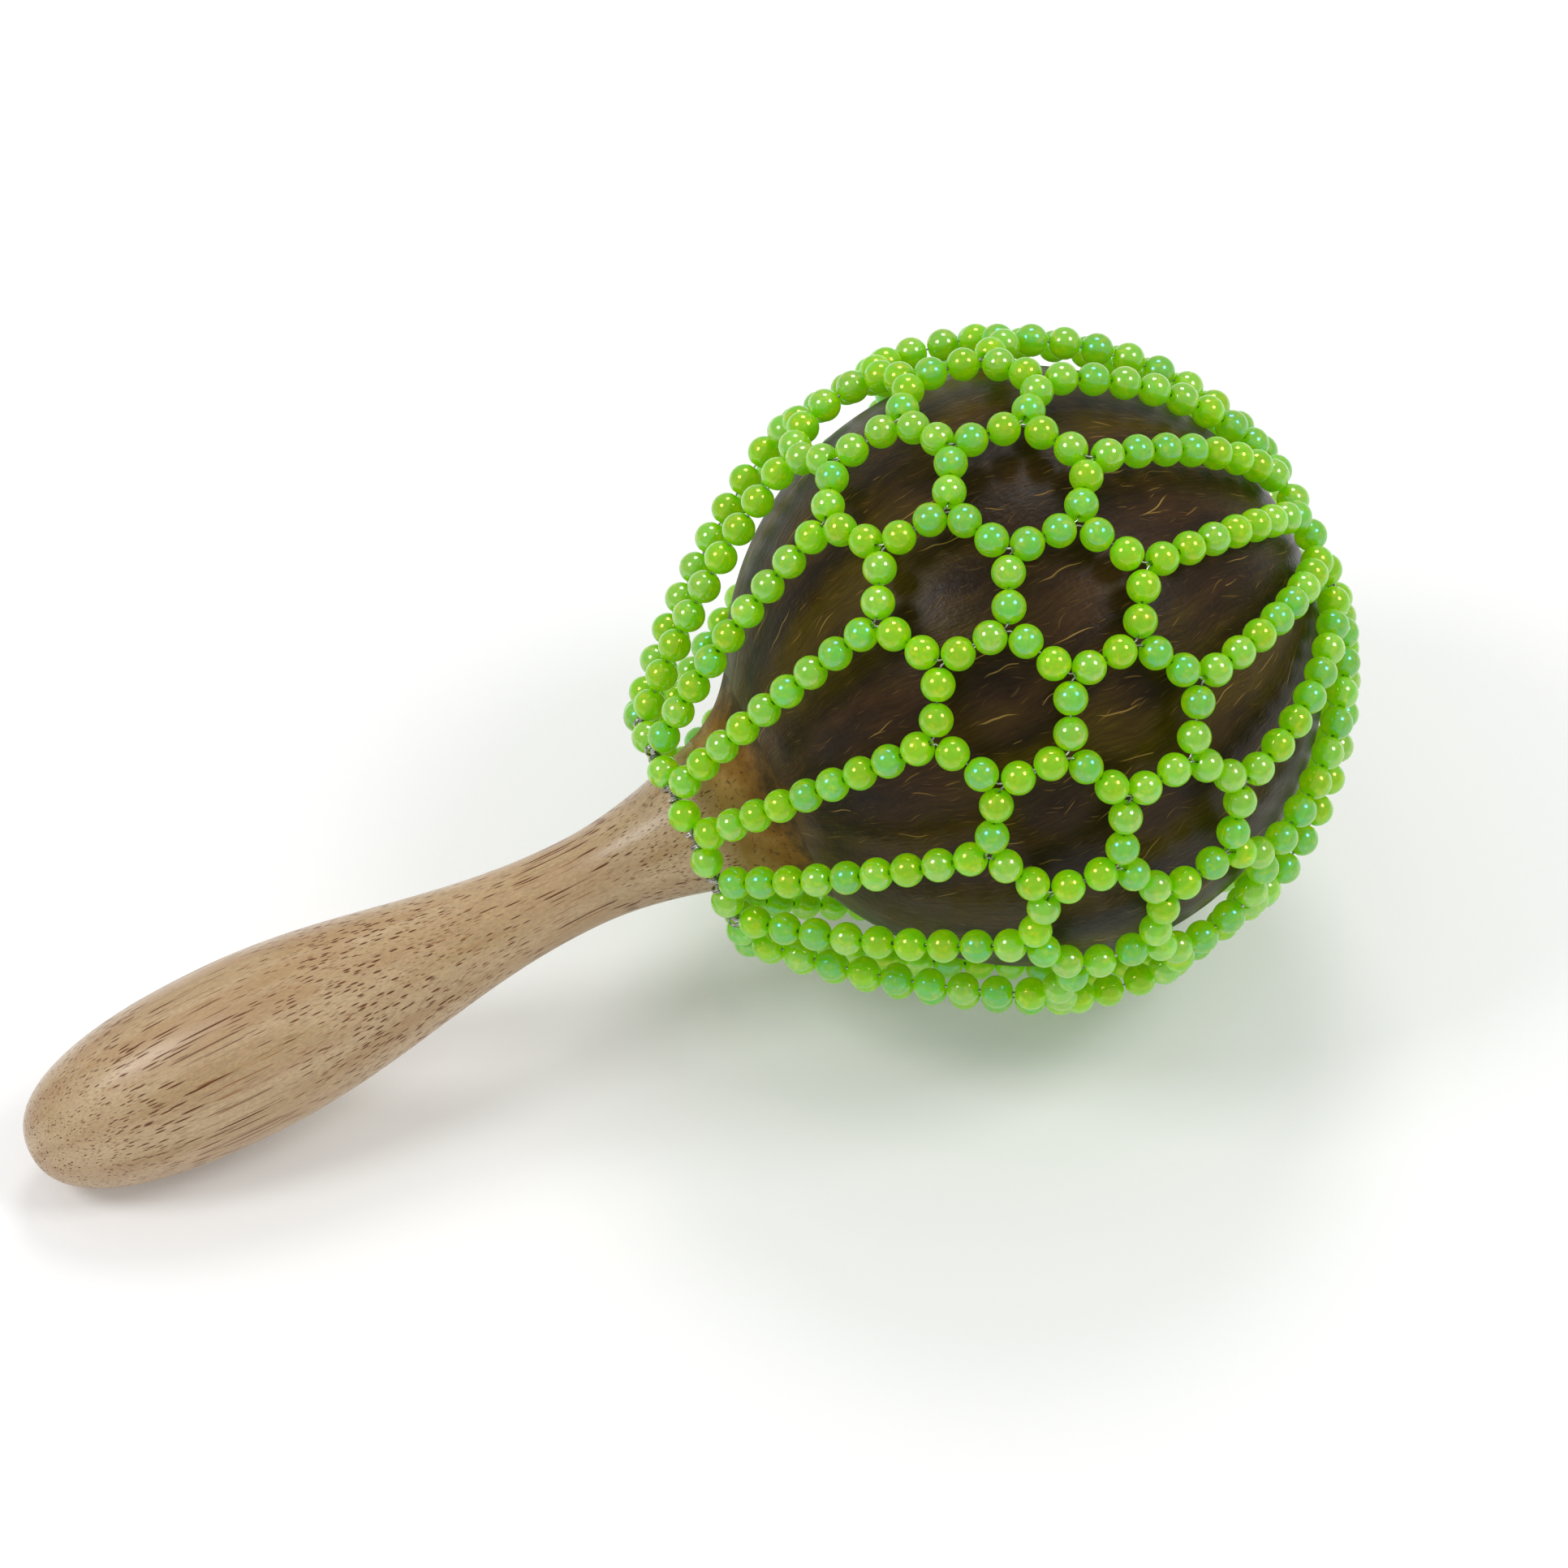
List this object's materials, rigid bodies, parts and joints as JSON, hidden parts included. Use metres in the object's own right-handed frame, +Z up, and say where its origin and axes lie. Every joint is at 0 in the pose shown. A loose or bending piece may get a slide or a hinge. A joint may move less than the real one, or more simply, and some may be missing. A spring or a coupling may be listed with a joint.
{
  "type": "shekere rattle",
  "caption": "Hand rattle: a hollow coconut shell glued on a turned wooden handle, inside a loose net of round translucent beads on wire that turns and slides on it.",
  "frame": {"origin": "point on the table straight below the middle of the coconut shell, the instrument lying on its grip and on its net", "axes": "+X along the lying instrument from the butt to the crown, +Z up; the instrument's own axis lies in the XZ plane and rises towards the crown"},
  "size_m": [0.2448, 0.1214, 0.1215],
  "materials": {
    "handle_wood": "turned pale rubberwood with short brown pores under satin lacquer",
    "coconut": "sanded and oiled dark coconut shell with short golden fibres",
    "neck_filler": "golden-brown wood filler, sanded into the shell",
    "lime_beads": "translucent lime green acrylic with a pearly rainbow coat",
    "steel_wire": "thin bright silver wire"
  },
  "bodies": {
    "shell_and_handle": {"handle": "handle_wood", "coconut_shell": "coconut", "neck_filler": "neck_filler"},
    "net_rings": {"collar_ring_wire": "steel_wire", "crown_ring_wire": "steel_wire"},
    "bead_net": {"left_wires": "steel_wire", "right_wires": "steel_wire", "collar_beads": "lime_beads", "lower_zigzag": "lime_beads", "lower_links": "lime_beads", "middle_zigzag": "lime_beads", "upper_links": "lime_beads", "upper_zigzag": "lime_beads", "crown_beads": "lime_beads", "lower_strand_01": "lime_beads", "lower_strand_02": "lime_beads", "lower_strand_03": "lime_beads", "lower_strand_04": "lime_beads", "lower_strand_05": "lime_beads", "lower_strand_06": "lime_beads", "lower_strand_07": "lime_beads", "lower_strand_08": "lime_beads", "lower_strand_09": "lime_beads", "lower_strand_10": "lime_beads", "lower_strand_11": "lime_beads", "lower_strand_12": "lime_beads", "lower_strand_13": "lime_beads", "lower_strand_14": "lime_beads", "lower_strand_15": "lime_beads", "lower_strand_16": "lime_beads", "upper_strand_01": "lime_beads", "upper_strand_02": "lime_beads", "upper_strand_03": "lime_beads", "upper_strand_04": "lime_beads", "upper_strand_05": "lime_beads", "upper_strand_06": "lime_beads", "upper_strand_07": "lime_beads", "upper_strand_08": "lime_beads", "upper_strand_09": "lime_beads", "upper_strand_10": "lime_beads", "upper_strand_11": "lime_beads", "upper_strand_12": "lime_beads", "upper_strand_13": "lime_beads", "upper_strand_14": "lime_beads", "upper_strand_15": "lime_beads", "upper_strand_16": "lime_beads"}
  },
  "joints": [
    {"name": "net_slide", "type": "slide", "parent": "shell_and_handle", "child": "net_rings", "axis": [0.9627, 0, 0.2705], "range_m": [0, 0.003]},
    {"name": "net_turn", "type": "hinge", "parent": "net_rings", "child": "bead_net", "pos_m": [0, 0, 0.06126], "axis": [0.9627, 0, 0.2705], "continuous": true}
  ]
}
